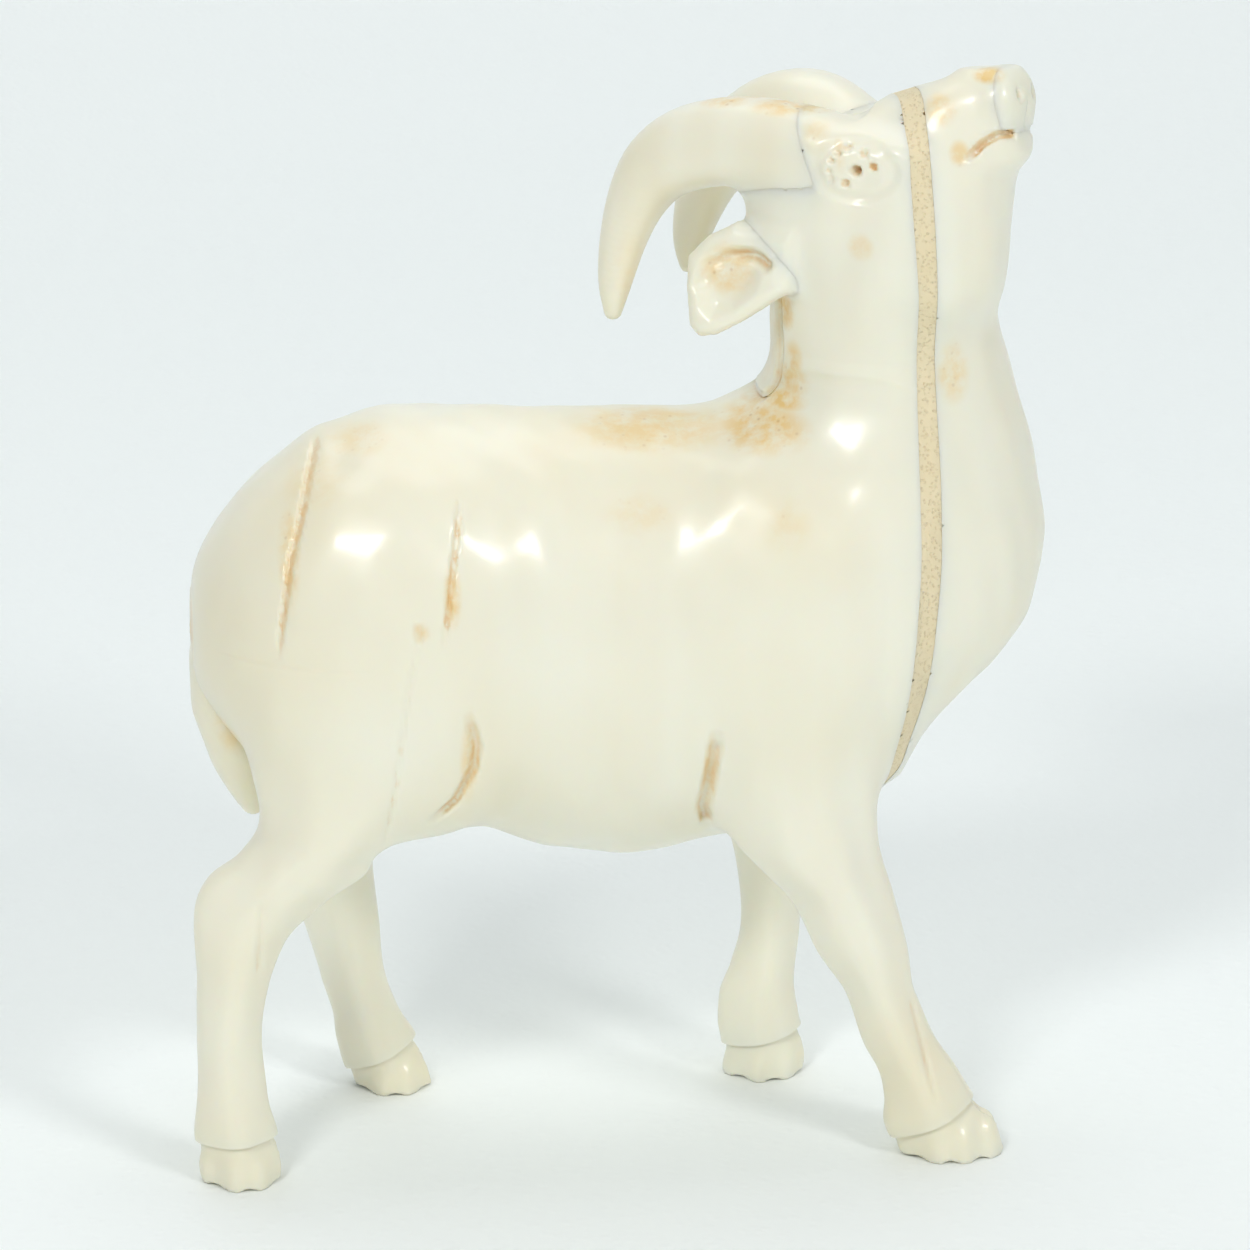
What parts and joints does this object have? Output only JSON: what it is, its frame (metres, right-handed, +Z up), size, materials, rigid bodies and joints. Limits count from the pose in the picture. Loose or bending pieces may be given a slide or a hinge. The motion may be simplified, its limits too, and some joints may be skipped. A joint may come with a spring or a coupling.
{
  "type": "carved ram figurine",
  "caption": "Small polished carving of a standing ram, head raised and turned, with horns swept back, leaf ears, a short tail and flat-soled hooves.",
  "frame": {"origin": "on the ground, in the middle of the rectangle that the whole ram covers", "axes": "+Z up; +X the way the ram's body faces; +Y its left side"},
  "size_m": [0.076, 0.0318, 0.097],
  "materials": {
    "polished_ivory": "polished",
    "horn_ivory": "polished",
    "hoof_ivory": "gloss",
    "porous_band": "satin"
  },
  "bodies": {
    "root": {"body_block": "polished_ivory", "neck_band": "porous_band", "throat_block": "polished_ivory", "nape_ridge": "polished_ivory", "horn_right": "horn_ivory", "horn_left": "horn_ivory", "ear_right": "polished_ivory", "ear_left": "polished_ivory", "tail": "polished_ivory", "hoof_front_right": "hoof_ivory", "hoof_front_left": "hoof_ivory", "hoof_rear_right": "hoof_ivory", "hoof_rear_left": "hoof_ivory", "nose_pad": "polished_ivory"}
  },
  "joints": []
}
